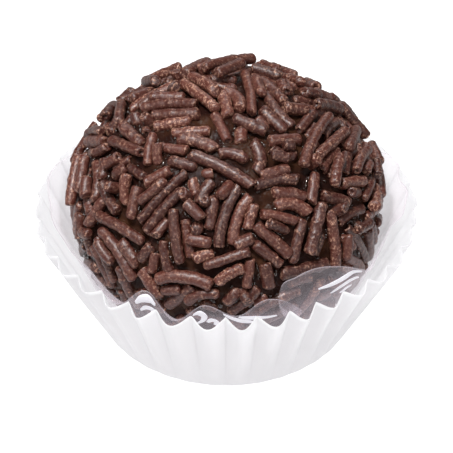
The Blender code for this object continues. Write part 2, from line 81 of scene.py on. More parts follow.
# The sprinkles that the eye meets in front: (bearing, latitude, heading, length, sideways bend per
# metre, height above the ones that lie flat).
LANDMARKS = (
    (-101, 80, 44, 0.0068, 0, 0.0007), (-6, 87, -76, 0.0039, 0, 0.0002),
    (92, 86, 22, 0.0034, 190, 0.0004), (120, 80, -25, 0.0078, 15, 0.0005),
    (-176, 76, -3, 0.0027, -45, 0.0003), (-73, 70, 58, 0.0053, 0, 0.0003),
    (-8, 75, -62, 0.0041, 0, 0.0003), (17, 71, 72, 0.0023, 0, 0.0001),
    (29, 73, -53, 0.0037, 0, 0.0008), (61, 70, 74, 0.0038, -10, 0.0004),
    (80, 71, 43, 0.0053, -75, 0.0003), (120, 70, 5, 0.0050, 25, 0.0004),
    (175, 75, 54, 0.0040, 0, 0.0017), (-94, 68, 75, 0.0065, -30, 0.0004),
    (-64, 67, 57, 0.0041, 0, 0.0002), (-40, 69, 34, 0.0041, 0, 0.0002),
    (-27, 66, 0, 0.0044, -95, 0.0004), (6, 62, -22, 0.0031, -175, 0.0003),
    (51, 61, -30, 0.0037, 0, 0.0003), (88, 64, -70, 0.0026, 0, 0.0006),
    (178, 61, 50, 0.0077, 0, 0.0013), (-109, 57, -43, 0.0030, -40, 0.0003),
    (-93, 50, -52, 0.0023, 0, 0.0002), (-57, 53, -48, 0.0037, 40, 0.0003),
    (-43, 59, 20, 0.0035, 0, 0.0002), (-30, 55, 6, 0.0033, 0, 0.0002),
    (-12, 53, 13, 0.0012, 0, 0.0003), (-3, 56, -27, 0.0073, -20, 0.0005),
    (25, 59, 74, 0.0036, 200, 0.0003), (29, 51, -3, 0.0030, 0, 0.0003),
    (42, 56, -43, 0.0028, 200, 0.0002), (69, 53, 2, 0.0088, -25, 0.0009),
    (82, 58, -17, 0.0042, 0, 0.0004), (110, 54, -79, 0.0045, 0, 0.0001),
    (-122, 44, -24, 0.0025, 0, 0.0005), (-104, 44, 17, 0.0049, 0, 0.0008),
    (-73, 46, 26, 0.0058, 0, 0.0005), (-53, 43, 4, 0.0027, 0, 0.0002),
    (-40, 46, 53, 0.0031, 0, 0.0003), (-33, 40, 66, 0.0068, -15, 0.0004),
    (-18, 47, -61, 0.0019, 0, 0.0000), (-12, 46, 69, 0.0025, -155, 0.0002),
    (29, 48, -11, 0.0049, -50, 0.0002), (33, 41, -26, 0.0038, -55, 0.0002),
    (77, 45, -18, 0.0071, -5, 0.0006), (-95, 31, 44, 0.0052, 0, 0.0006),
    (-84, 35, 64, 0.0021, 0, 0.0006), (-73, 33, -37, 0.0024, 0, 0.0003),
    (-62, 38, 64, 0.0019, 0, 0.0004), (-45, 33, -72, 0.0031, 0, 0.0003),
    (-30, 35, 66, 0.0055, -25, 0.0003), (-7, 38, 87, 0.0035, 0, 0.0002),
    (-1, 37, 72, 0.0061, -50, 0.0005), (5, 36, 66, 0.0051, -80, 0.0001),
    (11, 36, 66, 0.0025, 0, 0.0004), (24, 34, -25, 0.0039, -40, 0.0004),
    (32, 37, -29, 0.0036, -200, 0.0003), (46, 39, 43, 0.0033, 0, 0.0004),
    (54, 30, -42, 0.0036, 0, 0.0003), (73, 36, 11, 0.0028, 0, 0.0004),
    (92, 35, -19, 0.0055, 0, 0.0008), (-61, 20, 78, 0.0035, 0, 0.0005),
    (-58, 28, -14, 0.0041, 45, 0.0005), (-46, 22, 3, 0.0066, -20, 0.0005),
    (-21, 27, -69, 0.0052, 20, 0.0005), (-16, 27, -72, 0.0037, 0, 0.0000),
    (-11, 27, -2, 0.0026, 0, 0.0006), (0, 21, 18, 0.0048, -5, 0.0006),
    (7, 27, 18, 0.0021, 0, 0.0004), (16, 21, -46, 0.0035, 0, 0.0004),
    (19, 26, -50, 0.0046, 0, 0.0003), (29, 23, 59, 0.0045, -15, 0.0003),
    (38, 25, 50, 0.0052, -15, 0.0005), (69, 29, -31, 0.0044, 0, 0.0004),
    (76, 20, -2, 0.0036, 0, 0.0003), (-84, 18, -34, 0.0053, -25, 0.0011),
    (-44, 12, -28, 0.0062, -60, 0.0003), (-39, 14, -29, 0.0032, -15, 0.0003),
    (-32, 17, 62, 0.0023, 0, 0.0002), (-28, 14, 86, 0.0021, 0, 0.0002),
    (-24, 18, -67, 0.0032, 75, 0.0002), (-16, 12, 5, 0.0059, -90, 0.0004),
    (1, 15, 31, 0.0032, -115, 0.0005), (8, 14, 80, 0.0030, 0, 0.0003),
    (15, 12, -82, 0.0027, 0, 0.0002), (30, 11, -7, 0.0055, -10, 0.0003),
    (45, 17, 78, 0.0057, 10, 0.0004), (92, 11, 3, 0.0048, 0, 0.0006),
    (104, 15, 5, 0.0029, 0, 0.0011), (-68, 8, -71, 0.0025, -35, 0.0006),
    (-50, 4, -48, 0.0048, -45, 0.0002), (-28, 4, -47, 0.0035, -25, 0.0002),
    (-20, 4, 18, 0.0021, 0, 0.0002), (-17, 1, 50, 0.0042, 0, 0.0000),
    (-9, 5, 21, 0.0035, -200, 0.0004), (2, 4, 54, 0.0022, 0, 0.0002),
    (59, 5, -64, 0.0069, 0, 0.0000), (-52, -2, -50, 0.0050, -55, 0.0000),
)

BASE_RADIUS = 0.0138
RIDGE_RADIUS = 0.0202
SIDE_SPREAD = 0.0005
SIDE_EASE = 0.65
VALLEY_RADIUS = 0.01875
RIDGE_HEIGHT = 0.0136
VALLEY_HEIGHT = 0.0143
FLUTES = 36
TIP_BEARINGS = (-52.2, -41.4, -31.6, -22.3, -10.9, -0.4, 9.6, 19.9, 28.6, 38.5, 48.3)
RIM_RISE = 0.0004
RIM_RISE_AT = 37.0
RIM_RISE_WIDTH = 12.0

# -------------------------------- the dressing

# Small sprinkles laid after the ones of the solid part, in the gaps and on top of the others.
FILL_COUNT = 420
FILL_LONGEST = 0.0042
FILL_SHORTEST = 0.0012
FILL_RISES = ((0.0, 0.0005), (0.0005, 0.0), (0.0, 0.0009), (0.0009, 0.0), (0.0006, 0.0006),
              (0.0, 0.0012), (0.0009, 0.0009))
FILL_ABOVE_Z = 0.0158
FILL_TOUCHING = 0.80

# Short sprinkles that stand in the fudge: a few named places as (bearing, latitude), then others.
STANDING = ((-18, 42), (-13, 41), (-12, 36), (52, 47), (80, 37), (-78, 59), (-143, 62), (-159, 64),
            (6, 6))
STANDING_COUNT = 24
STANDING_LENGTHS = (0.0019, 0.0028)
STANDING_FOOT = -0.0005
STANDING_TRIES = 40
STANDING_SPREAD = 0.0002
STANDING_WIDE_SPREAD = 0.0006
STANDING_LEAN = 0.25

# The largest phase drawn for a wave, in radians.
MOST_PHASE = 6.28

ROD_SIDES = 14
ROD_STEP = 0.00019
WRINKLED_STEP_SHARE = 0.6
BLUNT_SHARE = 0.75
BLUNT_CORNERS = (0.38, 0.62)
ROUND_CORNER = 0.96
HOLLOW_SHARE = 0.22
HOLLOW_DEPTHS = (0.30, 0.60)
END_RINGS = 7
END_TURNS = (0.0, 28.0, 52.0, 72.0, 90.0)
END_TILT = 0.18
END_CRUMB = 0.000012
# Lumps on a rod: (wavelength, most turns round it, height as a share of its radius, how many).
ROD_LUMPS = ((0.0032, 1, 0.022, 3), (0.0015, 2, 0.018, 4), (0.0009, 3, 0.012, 5),
             (0.0006, 4, 0.008, 5))
WRINKLED_SHARE = 0.14
WRINKLE_PITCHES = (0.00034, 0.00048)
WRINKLE_HEIGHT = 0.042
WRINKLE_FADE = 0.0035
WRINKLE_SLANT = 0.00021
TIP_WEAR = 0.70
TIP_WEAR_REACH = 0.00016
DUSTY_SHARE = 0.14
LONG_ROD = 0.0054
SHORT_ROD = 0.0036

FUDGE_SUBDIVISIONS = 7
FUDGE_FILLET = 0.00026
FUDGE_FILLET_SPAN = (0.0011, 0.00055)
# The fudge's own unevenness: (height, wavelength, how many waves).
FUDGE_WAVES = ((0.00013, 0.0030, 9), (0.000045, 0.0011, 12), (0.000016, 0.0005, 12))
BEAD_COUNT = 2000
BEAD_REACH = 0.0012
BEAD_LOWEST_Z = 0.0081
BEAD_GAPS = (0.00002, 0.00030)
BEAD_SMALLEST = (0.00014, 0.00012, 0.00010)
BEAD_LARGEST = (0.00050, 0.00026, 0.00020)

PAPER_THICKNESS = 0.00006
PAPER_FLOOR_RADII = (0.0030, 0.0070, 0.0100, 0.0120)
PAPER_SWAY = 0.00007
FLUTE_COLUMNS = 24
PAPER_RINGS = 22
BASE_INSET = 0.0011
BASE_LIFT = 0.00045
WALL_START = 0.045

FILM_THICKNESS = 0.00004
FILM_COLUMNS = 1080
FILM_RINGS = 30
# (radius, height) of the rings of the film's floor and of its rounded corner.
FILM_FLOOR = ((0.004, 0.00045), (0.0110, 0.00045), (0.0122, 0.00068))
FILM_CORNER = (0.0131, 0.0013)
FILM_WALL_TOP = (0.0177, 0.0134)
FILM_LEAST_LIP = 0.0009
FILM_RIPPLE = 0.00006
FILM_RIPPLES = 23.0

# The film's edge: (bearing at the film's foot, bearing at its edge, radius, height). Between 17
# and 26 degrees the edge doubles back on itself in a small pleat.
FILM_EDGE = (
    (-170, -170, 0.0193, 0.0157), (-157, -157, 0.0183, 0.0142), (-143, -143, 0.0194, 0.0156),
    (-128, -128, 0.0182, 0.0145), (-112, -112, 0.0186, 0.0153), (-98, -98, 0.0195, 0.0156),
    (-90, -90, 0.0190, 0.0146), (-81, -81, 0.0189, 0.0149), (-68, -68, 0.0183, 0.0143),
    (-52, -52, 0.0183, 0.0145), (-39, -39, 0.0181, 0.0121), (-26, -26, 0.0180, 0.0155),
    (-18.5, -18.5, 0.0181, 0.0127), (-7.5, -7.5, 0.0180, 0.0151), (4, 4, 0.0181, 0.0140),
    (14, 14, 0.0180, 0.0157), (20, 20.5, 0.0180, 0.0147), (24, 25.5, 0.0180, 0.0129),
    (27, 22.5, 0.0181, 0.0128), (29, 17.4, 0.0181, 0.0148), (31, 17.6, 0.0181, 0.0170),
    (35, 23, 0.0181, 0.0180), (40, 30, 0.0181, 0.0182), (45, 38, 0.0180, 0.0173),
    (50, 45, 0.0181, 0.0160), (55, 51, 0.0181, 0.0145), (59, 56, 0.0183, 0.0136),
    (62, 60, 0.0183, 0.0154), (66, 65, 0.0184, 0.0165), (75, 75, 0.0188, 0.0158),
    (84, 84, 0.0191, 0.0150), (93, 93, 0.0195, 0.0151), (100, 100, 0.0192, 0.0147),
    (109, 109, 0.0197, 0.0152), (122, 122, 0.0184, 0.0144), (138, 138, 0.0194, 0.0158),
    (156, 156, 0.0183, 0.0143), (173, 173, 0.0195, 0.0157), (182, 182, 0.0184, 0.0147),
)

# Pale strokes printed on the film: (half width, the bearings at the film's foot that it lies
# between, points of bearing and height).
STROKES = (
    (0.00027, (30, 64), ((31, 0.0154), (35, 0.0152), (41, 0.0152), (46, 0.0153), (52, 0.0139))),
    (0.00023, (30, 64), ((37, 0.0137), (41, 0.0141), (45, 0.0142), (49, 0.0137), (52, 0.0129))),
    (0.00021, (30, 64), ((42, 0.0127), (45, 0.0130), (48, 0.0127))),
    (0.00026, (-16, 22), ((4, 0.0135), (8, 0.0131), (12, 0.0129), (17, 0.0130))),
    (0.00028, (-16, 22), ((-1, 0.0141), (2, 0.0133), (5, 0.0127), (9, 0.0122))),
    (0.00033, (-16, 22), ((-11, 0.0136), (-9, 0.0141), (-7, 0.0135), (-8, 0.0125), (-10, 0.0120))),
    (0.00031, (-16, 22), ((-6.5, 0.0123), (-5, 0.0129), (-3, 0.0126), (-4, 0.0119))),
    (0.00060, (-38, -20), ((-32, 0.0131), (-29, 0.0143), (-26, 0.0147), (-24, 0.0139))),
    (0.00040, (-38, -20), ((-31, 0.0119), (-28, 0.0130), (-25, 0.0129), (-26, 0.0122))),
)
STROKE_REPEATS = (0, 155)
STROKE_POINTS = 40
STROKE_RADIUS = 0.0178
STROKE_LIFT = 0.00005
STROKE_THICKNESS = 0.00002

LENS = 183.4
SENSOR_WIDTH = 36.0
NEAREST_SEEN = 0.005
CAMERA_POINT = (0.0, -0.1943, 0.1683)
CAMERA_AIM = (0.0, 0.0, 0.0110)
LIGHT_AIM = (0.0, 0.0, 0.012)
FLOOR_REACH = 2.0
FLOOR_DROP = 0.00005
FLOOR_GLOW = 0.95
FLOOR_LIGHT = 0.60
FLOOR_GLOSS = 0.05
# The ink's glow is painted light: the ink is no lamp.
INK_GLOW = 0.34
# The film's glow is painted light: the film is no lamp.
FILM_GLOW = 0.12
ROOM_LIGHT = 0.22
ROOM_GLOSS = 0.03
BACKDROP_GLOW = 1.1
# The paper's glow is painted light: the paper is no lamp.
PAPER_GLOW = 0.49
# (name, place, size, power).
LIGHTS = (
    ("key_light", (-0.10, -0.09, 0.46), 0.12, 1.50),
    ("left_light", (-0.32, -0.28, 0.30), 0.26, 0.34),
    ("right_light", (0.32, -0.28, 0.30), 0.26, 0.37),
    ("back_light", (0.04, 0.36, 0.30), 0.20, 0.35),
    ("spark_light", (-0.10, -0.10, 0.50), 0.022, 0.85),
)


# -------------------------------- meshes and materials

def add_mesh(name, points, faces, material, smooth=True, attributes=None):
    """Makes an object of these points and faces, with a value at each point for each attribute."""
    mesh = bpy.data.meshes.new(name)
    mesh.from_pydata(np.asarray(points).tolist(), [], faces)
    mesh.update()
    for label, values in (attributes or {}).items():
        layer = mesh.attributes.new(label, "FLOAT", "POINT")
        layer.data.foreach_set("value", np.asarray(values, np.float32))
    if smooth:
        mesh.shade_smooth()
    mesh.materials.append(material)
    thing = bpy.data.objects.new(name, mesh)
    bpy.context.scene.collection.objects.link(thing)
    return thing


def thicken(sheet, thickness, offset=0.0):
    solid = sheet.modifiers.new("thickness", "SOLIDIFY")
    solid.thickness = thickness
    solid.offset = offset


def grid_faces(rows, columns, start=0):
    """Quads that join rows of points, each row closed round."""
    here = np.arange(rows - 1)[:, None] * columns + np.arange(columns)[None]
    after = np.arange(rows - 1)[:, None] * columns + (np.arange(columns)[None] + 1) % columns
    quads = np.stack((here, after, after + columns, here + columns), axis=-1)
    return (quads.reshape(-1, 4) + start).tolist()


def smooth_step(low, high, value):
    """0 at low, 1 at high, and eased between them."""
    share = np.clip((value - low) / (high - low), 0.0, 1.0)
    return share * share * (3.0 - 2.0 * share)


def waves(points, wavelength, draw, count):
    """A smooth random field over these points, from about -1 to 1, of this wavelength."""
    total = np.zeros(len(points))
    for _ in range(count):
        aim = unit(draw.normal(0.0, 1.0, 3))
        pitch = wavelength * draw.uniform(0.75, 1.35)
        total += np.sin(points @ aim * (2.0 * math.pi / pitch) + draw.uniform(0.0, 2.0 * math.pi))
    return total / math.sqrt(0.5 * count) * 0.5


class Nodes:
    """A material with a Principled shader, and short ways to add nodes to it.

    A value given for a socket that is linked later is only a fallback.
    """

    def __init__(self, name, **values):
        self.material = bpy.data.materials.new(name)
        self.material.use_nodes = True
        self.tree = self.material.node_tree
        self.shader = self.tree.nodes["Principled BSDF"]
        for key, value in values.items():
            self.shader.inputs[key.replace("_", " ")].default_value = value
        self.coordinates = self.tree.nodes.new("ShaderNodeTexCoord").outputs["Object"]

    def link(self, source, target):
        self.tree.links.new(source, target)

    def feed(self, name, source):
        """Links this output to the shader's socket of this name."""
        self.link(source, self.shader.inputs[name])

    def noise(self, size, detail, roughness=0.55, stretch=None, distortion=0.0):
        """Noise whose features are about this size in metres."""
        node = self.tree.nodes.new("ShaderNodeTexNoise")
        node.inputs["Scale"].default_value = 1.0 / size
        node.inputs["Detail"].default_value = detail
        node.inputs["Roughness"].default_value = roughness
        node.inputs["Distortion"].default_value = distortion
        source = self.coordinates
        if stretch:
            mapping = self.tree.nodes.new("ShaderNodeMapping")
            mapping.inputs["Scale"].default_value = stretch
            self.link(source, mapping.inputs["Vector"])
            source = mapping.outputs["Vector"]
        self.link(source, node.inputs["Vector"])
        return node.outputs["Fac"]

    def attribute(self, name):
        node = self.tree.nodes.new("ShaderNodeAttribute")
        node.attribute_name = name
        return node.outputs["Fac"]

    def span(self, value, low, high, to_low=0.0, to_high=1.0):
        node = self.tree.nodes.new("ShaderNodeMapRange")
        node.inputs["From Min"].default_value = low
        node.inputs["From Max"].default_value = high
        node.inputs["To Min"].default_value = to_low
        node.inputs["To Max"].default_value = to_high
        self.link(value, node.inputs["Value"])
        return node.outputs["Result"]

    def math(self, operation, first, second):
        node = self.tree.nodes.new("ShaderNodeMath")
        node.operation = operation
        for socket, value in zip(node.inputs, (first, second)):
            if isinstance(value, (int, float)):
                socket.default_value = value
            else:
                self.link(value, socket)
        return node.outputs["Value"]

    def mix(self, share, first, second):
        node = self.tree.nodes.new("ShaderNodeMix")
        node.data_type = "RGBA"
        self.link(share, node.inputs["Factor"])
        # The node's colour sockets are inputs 6 and 7 and output 2.
        for socket, value in zip((node.inputs[6], node.inputs[7]), (first, second)):
            if isinstance(value, tuple):
                socket.default_value = (*value, 1.0)
            else:
                self.link(value, socket)
        return node.outputs[2]

    def bump(self, height, strength, distance, onto=None):
        node = self.tree.nodes.new("ShaderNodeBump")
        node.inputs["Strength"].default_value = strength
        node.inputs["Distance"].default_value = distance
        self.link(height, node.inputs["Height"])
        if onto is not None:
            self.link(onto, node.inputs["Normal"])
        return node.outputs["Normal"]


def sprinkle_material():
    """Chocolate that is paler where it is rubbed or dusty, and darker in specks."""
    made = Nodes(
        "sprinkle_chocolate", Roughness=0.34, Specular_IOR_Level=0.6, Coat_Weight=0.16,
        Coat_Roughness=0.20,
    )
    tone = made.attribute("tone")
    wear = made.attribute("wear")
    cloud = made.noise(0.0011, 3.0)
    speck = made.noise(0.00026, 4.0, 0.66)
    share = made.math("ADD", tone, made.span(cloud, 0.3, 0.7, -0.24, 0.24))
    colour = made.mix(share, (0.054, 0.0138, 0.0102), (0.128, 0.0370, 0.0255))
    grain = made.span(speck, 0.52, 0.66)
    dusty = made.span(tone, 0.82, 1.0, 0.36, 0.78)
    rubbed = made.math("MULTIPLY", made.math("ADD", wear, dusty), grain)
    colour = made.mix(rubbed, colour, (0.56, 0.310, 0.215))
    dark = made.span(speck, 0.42, 0.30, 0.0, 0.40)
    made.feed("Base Color", made.mix(dark, colour, (0.022, 0.0072, 0.0054)))
    made.feed("Roughness", made.span(speck, 0.35, 0.7, 0.26, 0.46))
    fine = made.noise(0.00012, 2.0)
    normal = made.bump(speck, 0.8, 0.00009)
    made.feed("Normal", made.bump(fine, 0.4, 0.00002, normal))
    return made.material


def fudge_material():
    """Dark, smooth fudge with amber patches."""
    made = Nodes("fudge_gloss", Roughness=0.06, Specular_IOR_Level=0.10)
    patches = made.noise(0.0040, 2.0)
    amber = made.span(patches, 0.48, 0.66)
    made.feed("Base Color", made.mix(amber, (0.0220, 0.0082, 0.0062), (0.058, 0.0235, 0.0125)))
    ripples = made.noise(0.0007, 3.0, 0.55, distortion=0.8)
    made.feed("Roughness", made.span(ripples, 0.3, 0.7, 0.03, 0.08))
    streaks = made.noise(0.00034, 3.0, 0.6, distortion=1.5)
    normal = made.bump(ripples, 0.5, 0.00012)
    made.feed("Normal", made.bump(streaks, 0.8, 0.00009, normal))
    return made.material


def bead_material():
    """Wet fudge that glints."""
    made = Nodes("wet_fudge", Roughness=0.06, Specular_IOR_Level=0.8, Coat_Weight=1.0)
    patches = made.noise(0.0020, 2.0)
    made.feed("Base Color", made.mix(patches, (0.0190, 0.0070, 0.0050), (0.0420, 0.0170, 0.0100)))
    wobble = made.noise(0.00030, 2.0)
    made.feed("Roughness", made.span(wobble, 0.3, 0.7, 0.04, 0.10))
    made.feed("Normal", made.bump(wobble, 0.2, 0.00003))
    return made.material


def paper_material():
    """White paper, with painted shade that greys it towards the sides of its rim. Its glow is
    painted light, standing for the light that comes through it.
    """
    made = Nodes(
        "case_paper", Roughness=0.88, Specular_IOR_Level=0.25,
        Subsurface_Weight=0.8, Subsurface_Radius=(1.0, 1.0, 1.0), Subsurface_Scale=0.001,
        Emission_Color=(0.98, 0.97, 1.0, 1.0), Emission_Strength=PAPER_GLOW,
    )
    clouds = made.noise(0.0035, 3.0)
    colour = made.mix(clouds, (0.270, 0.270, 0.274), (0.292, 0.291, 0.295))
    # The side attribute greys the colour towards the sides of the rim: painted shade.
    made.feed("Base Color", made.mix(made.attribute("side"), colour, (0.226, 0.226, 0.231)))
    fibres = made.noise(0.00022, 4.0, 0.6, stretch=(1.0, 1.0, 0.35))
    made.feed("Normal", made.bump(fibres, 0.20, 0.00003))
    return made.material


def film_material():
    """Clear film, a little cloudier where it is seen on a slant and along its edge; the cloudier
    edge is partly a painted highlight along it. It glows a little: painted light that keeps it
    pale in the case's shade.
    """
    made = Nodes(
        "clear_film", Roughness=0.14, Specular_IOR_Level=0.5, Alpha=0.10,
        Emission_Color=(0.96, 0.90, 0.98, 1.0), Emission_Strength=FILM_GLOW,
    )
    clouds = made.noise(0.0030, 2.0)
    made.feed("Base Color", made.mix(clouds, (0.81, 0.70, 0.78), (0.92, 0.84, 0.90)))
    slant = made.tree.nodes.new("ShaderNodeLayerWeight")
    slant.inputs["Blend"].default_value = 0.5
    veil = made.span(slant.outputs["Facing"], 0.35, 1.0, 0.08, 0.34)
    # The edge attribute raises the alpha along the film's edge: partly painted highlight.
    edge = made.span(made.attribute("edge"), 0.0, 1.0, 0.0, 0.15)
    made.feed("Alpha", made.math("ADD", veil, edge))
    return made.material


def ink_material():
    # The ink glows: painted light that keeps the print pale in the case's shade.
    made = Nodes(
        "film_ink", Roughness=0.35, Specular_IOR_Level=0.4,
        Emission_Color=(0.96, 0.95, 1.0, 1.0), Emission_Strength=INK_GLOW,
    )
    cover = made.noise(0.0007, 3.0)
    made.feed("Base Color", made.mix(cover, (0.66, 0.64, 0.69), (0.80, 0.78, 0.83)))
    return made.material


def floor_material():
    """A white floor, as bright as the photo's ground, that lights the case from below."""
    made = Nodes(
        "pale_floor", Roughness=0.9, Specular_IOR_Level=0.2, Emission_Color=(1.0, 1.0, 1.0, 1.0)
    )
    clouds = made.noise(0.3, 2.0)
    made.feed("Base Color", made.mix(clouds, (0.29, 0.29, 0.29), (0.31, 0.31, 0.31)))
    rays = made.tree.nodes.new("ShaderNodeLightPath").outputs
    seen = made.math("MULTIPLY", rays["Is Camera Ray"], FLOOR_GLOW - FLOOR_LIGHT)
    gloss = made.math("MULTIPLY", rays["Is Glossy Ray"], FLOOR_GLOSS - FLOOR_LIGHT)
    made.feed("Emission Strength", made.math("ADD", made.math("ADD", seen, gloss), FLOOR_LIGHT))
    return made.material


# -------------------------------- where the sprinkles lie

def core_axes():
    return np.array((CORE_RADIUS, CORE_RADIUS, CORE_HALF_HEIGHT))


def unit(vectors):
    return vectors / np.linalg.norm(vectors, axis=-1, keepdims=True)


def onto_core(points):
    """The core's surface points, and normals, on the lines from its centre to these points."""
    scaled = unit((points - (0.0, 0.0, CORE_CENTRE_Z)) / core_axes())
    up = np.maximum(scaled[..., 2:], 0.0)
    fall = 4.0 * SHOULDER_FALL * up**2 * (1.0 - up**2)
    surface = scaled * core_axes() * (1.0 - fall * (1.0, 1.0, 0.0))
    return surface + (0.0, 0.0, CORE_CENTRE_Z), unit(scaled / core_axes())


def lies_from_angles(bearing, latitude, heading):
    """Middles and directions of sprinkles lying on the core, from arrays of angles in degrees."""
    angles = (bearing, latitude, heading)
    around, up, turn = (np.radians(np.asarray(angle, float)) for angle in angles)
    level = np.cos(up)
    outward = np.stack((np.sin(around) * level, -np.cos(around) * level, np.sin(up)), axis=-1)
    middles, normals = onto_core(outward * core_axes() + (0.0, 0.0, CORE_CENTRE_Z))
    east = np.stack((np.cos(around), np.sin(around), np.zeros_like(around)), axis=-1)
    north = np.cross(normals, east)
    return middles, east * np.cos(turn)[:, None] + north * np.sin(turn)[:, None]


def lies_beside(draw, middle, direction, length):
    """Middles and directions of sprinkles that would lie beside this one, nearly in line."""
    across = np.cross(onto_core(middle[None])[1][0], direction)
    side = draw.choice((-1.0, 1.0), LIES_A_SPOT) * draw.uniform(1.0, 1.3, LIES_A_SPOT)
    slide = draw.uniform(-0.7, 0.7, LIES_A_SPOT) * length
    turn = np.radians(draw.normal(0.0, 14.0, LIES_A_SPOT))[:, None]
    points = middle + direction * slide[:, None] + across * side[:, None] * SPRINKLE_DIAMETER
    middles, normals = onto_core(points)
    turned = direction * np.cos(turn) + across * np.sin(turn)
    return middles, unit(turned - normals * np.sum(turned * normals, axis=-1, keepdims=True))


def lies_around(draw, spot):
    """Middles and directions of sprinkles that would lie near this spot, turned any way."""
    middles = onto_core(spot + draw.normal(0.0, SPOT_SPREAD, (LIES_A_SPOT, 3)))
    aims = draw.normal(0.0, 1.0, (LIES_A_SPOT, 3))
    return middles[0], unit(np.cross(middles[1], aims))


def centrelines(middles, directions, length, bends, rises=(0.0, 0.0)):
    """Points down the middle of each sprinkle laid on the core, its ends raised by these rises."""
    across = np.cross(onto_core(middles)[1], directions)
    run = (np.linspace(-0.5, 0.5, LINE_POINTS) * length)[None, :, None]
    curve = np.asarray(bends, float)[:, None, None] * run**2
    feet = middles[:, None] + directions[:, None] * run + across[:, None] * curve
    feet, normals = onto_core(feet)
    share = run / length + 0.5
    lift = rises[0] * (1.0 - share) + rises[1] * share
    return feet + normals * (REST_HEIGHT + lift + SPRING_BACK * run**2 / (2.0 * CORE_RADIUS))


def spread_points():
    """Points spread evenly over the part of the core that the sprinkles cover."""
    index = np.arange(BARE_POINTS) + 0.5
    lowest = math.sin(math.radians(LOWEST_LATITUDE))
    up = np.degrees(np.arcsin(lowest + (1.0 - lowest) * index / BARE_POINTS))
    around = np.degrees(index * GOLDEN_ANGLE)
    return lies_from_angles(around, up, np.zeros(BARE_POINTS))[0]


class Coating:
    """The sprinkles placed so far: centrelines, radii, lengths and directions."""

    def __init__(self):
        self.points = spread_points()
        self.gaps = np.full(BARE_POINTS, np.inf)
        self.lines = np.zeros((0, LINE_POINTS, 3))
        self.radii = np.zeros(0)
        self.lengths = []
        self.directions = []
        self.touching = TOUCHING
        self.pile_above = PILE_ABOVE_Z
        self.pile_rises = PILE_RISES

    def clearances(self, lines, radius):
        """How far each of these lines keeps from its nearest sprinkle, as a share of touching."""
        spot = lines.mean(axis=(0, 1))
        reach = LONGEST + np.linalg.norm(lines.mean(axis=1) - spot, axis=-1).max()
        near = np.linalg.norm(self.lines[:, LINE_POINTS // 2] - spot, axis=-1) < reach
        if not near.any():
            return np.full(len(lines), 9.0)
        ours = lines.reshape(-1, 3) - spot
        theirs = self.lines[near].reshape(-1, 3) - spot
        squares = (ours**2).sum(axis=1)[:, None] + (theirs**2).sum(axis=1) - 2.0 * ours @ theirs.T
        squares = squares.reshape(len(lines), LINE_POINTS, -1, LINE_POINTS).min(axis=(1, 3))
        return (np.sqrt(np.maximum(squares, 0.0)) / (radius + self.radii[near])).min(axis=1)

    def bare_spot(self, draw):
        """A point that is far from every sprinkle, picked from the barest."""
        bare = np.flatnonzero(self.gaps >= np.quantile(self.gaps, 1.0 - BAREST_SHARE))
        return self.points[draw.choice(bare)]

    def add(self, line, radius, length, direction):
        apart = np.linalg.norm(self.points[:, None] - line[None], axis=2).min(axis=1)
        self.gaps = np.minimum(self.gaps, apart)
        self.lines = np.concatenate((self.lines, line[None]))
        self.radii = np.append(self.radii, radius)
        self.lengths.append(length)
        self.directions.append(direction)

    def place(self, middles, directions, length, bends, radius, pile):
        """Adds the tightest of these lies that fits, flat or, if pile is set, leaning."""
        for rises in ((0.0, 0.0), *(self.pile_rises if pile else ())):
            lines = centrelines(middles, directions, length, bends, rises)
            lowest = lines[:, :, 2].min(axis=1)
            clear = self.clearances(lines, radius)
            fits = (clear >= self.touching) & (lowest - radius > BALL_FLOOR_Z)
            if max(rises) > 0.0:
                fits &= lowest > self.pile_above
            if fits.any():
                best = np.where(fits, clear, np.inf).argmin()
                self.add(lines[best], radius, length, directions[best])
                return True
        return False


def some_radius(draw):
    return 0.5 * SPRINKLE_DIAMETER * (1.0 + draw.uniform(-DIAMETER_SPREAD, DIAMETER_SPREAD))


def lay_sprinkles(draw, coating, lengths):
    """Lays sprinkles of these lengths, the longest first, each where it finds room."""
    for length in sorted(lengths, reverse=True):
        radius = some_radius(draw)
        for spot in range(SPOTS):
            bends = draw.normal(0.0, BEND_SPREAD, LIES_A_SPOT)
            if draw.random() < BESIDE_SHARE:
                other = draw.integers(len(coating.lengths))
                middle = coating.lines[other, LINE_POINTS // 2]
                lies = lies_beside(draw, middle, coating.directions[other], coating.lengths[other])
            else:
                lies = lies_around(draw, coating.bare_spot(draw))
            if coating.place(*lies, length, bends, radius, pile=spot >= SPOTS_BEFORE_PILING):
                break


def stand_sprinkles(draw, coating):
    """Stands short sprinkles on end where they have room, first at the named places."""
    radius = 0.5 * SPRINKLE_DIAMETER
    steps = np.linspace(0.0, 1.0, LINE_POINTS)[:, None]
    for index in range(STANDING_COUNT):
        length = draw.uniform(*STANDING_LENGTHS)
        if index < len(STANDING):
            bearing, latitude = STANDING[index]
            spot = lies_from_angles([bearing], [latitude], [0.0])[0][0]
            spread = STANDING_SPREAD
        else:
            spot = coating.bare_spot(draw)
            spread = STANDING_WIDE_SPREAD
        feet, normals = onto_core(spot + draw.normal(0.0, spread, (STANDING_TRIES, 3)))
        aims = unit(normals + draw.normal(0.0, STANDING_LEAN, (STANDING_TRIES, 3)))
        starts = feet + normals * STANDING_FOOT
        lines = starts[:, None] + aims[:, None] * steps * length
        clear = coating.clearances(lines, radius)
        best = clear.argmax()
        fits = clear[best] >= FILL_TOUCHING and lines[best, :, 2].min() > FILL_ABOVE_Z
        if fits or index < len(STANDING):
            coating.add(lines[best], radius, length, aims[best])


